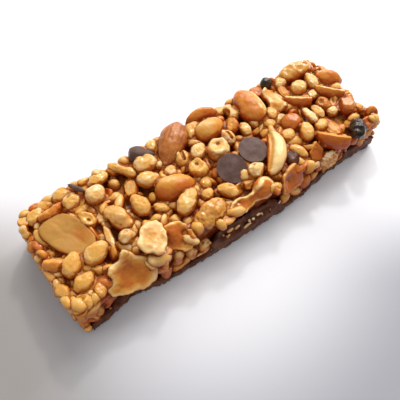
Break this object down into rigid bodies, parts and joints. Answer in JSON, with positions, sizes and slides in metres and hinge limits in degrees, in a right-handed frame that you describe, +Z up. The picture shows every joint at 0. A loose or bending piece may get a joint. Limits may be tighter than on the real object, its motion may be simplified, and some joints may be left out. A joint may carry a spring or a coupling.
{
  "type": "nut and crisp protein bar",
  "caption": "Rectangular snack bar of puffed crisps and peanuts bound in syrup, with an almond, chocolate drops and flakes on top, over a dark chocolate base.",
  "frame": {"origin": "under the middle of the bar, on the surface it rests on", "axes": "+X along the bar to the end with the wedges and the glazed drop, +Y away from the side that the picture shows, +Z up"},
  "size_m": [0.1015, 0.0346, 0.0161],
  "materials": {
    "chocolate": "satin dark chocolate with a faint bloom",
    "almond_skin": "ridged red-brown almond skin under a thin glaze",
    "nut_pale": "pale tan cut peanut, dull",
    "nut_roasted": "orange-brown roasted peanut, lightly glazed",
    "nut_glazed": "roasted peanut under a thick wet syrup glaze",
    "nut_skin": "red-orange peanut skin, glazed",
    "crisp_and_nut": "golden puffed crisps and nut bits in amber syrup"
  },
  "bodies": {
    "root": {"chocolate_base": "chocolate", "nut_and_crisp_mass": "crisp_and_nut", "pale_slice": "nut_pale", "flake_near_left": "nut_roasted", "glazed_lump": "nut_glazed", "chocolate_shaving": "chocolate", "flake_cupped": "nut_roasted", "flake_folded_left": "nut_roasted", "flake_wrinkled": "nut_glazed", "flake_curled": "nut_roasted", "chip_on_its_side": "chocolate", "almond": "almond_skin", "peanut_half_tilted": "nut_roasted", "peanut_half_far": "nut_roasted", "peanut_half_large": "nut_roasted", "peanut_whole": "nut_roasted", "chip_flat_left": "chocolate", "chip_flat_right": "chocolate", "nut_crescent": "nut_pale", "chocolate_chunk": "chocolate", "flake_side": "nut_skin", "flake_vee": "nut_roasted", "flake_twisted": "nut_roasted", "chip_far_right": "chocolate", "peanut_glazed": "nut_glazed", "peanut_wedge_mid": "nut_roasted", "peanut_end": "nut_roasted", "peanut_wedge_right": "nut_roasted", "peanut_round": "nut_skin", "peanut_red_right": "nut_skin", "chip_glazed": "chocolate", "peanut_wedge_near": "nut_roasted", "flake_red": "nut_skin"}
  },
  "joints": []
}
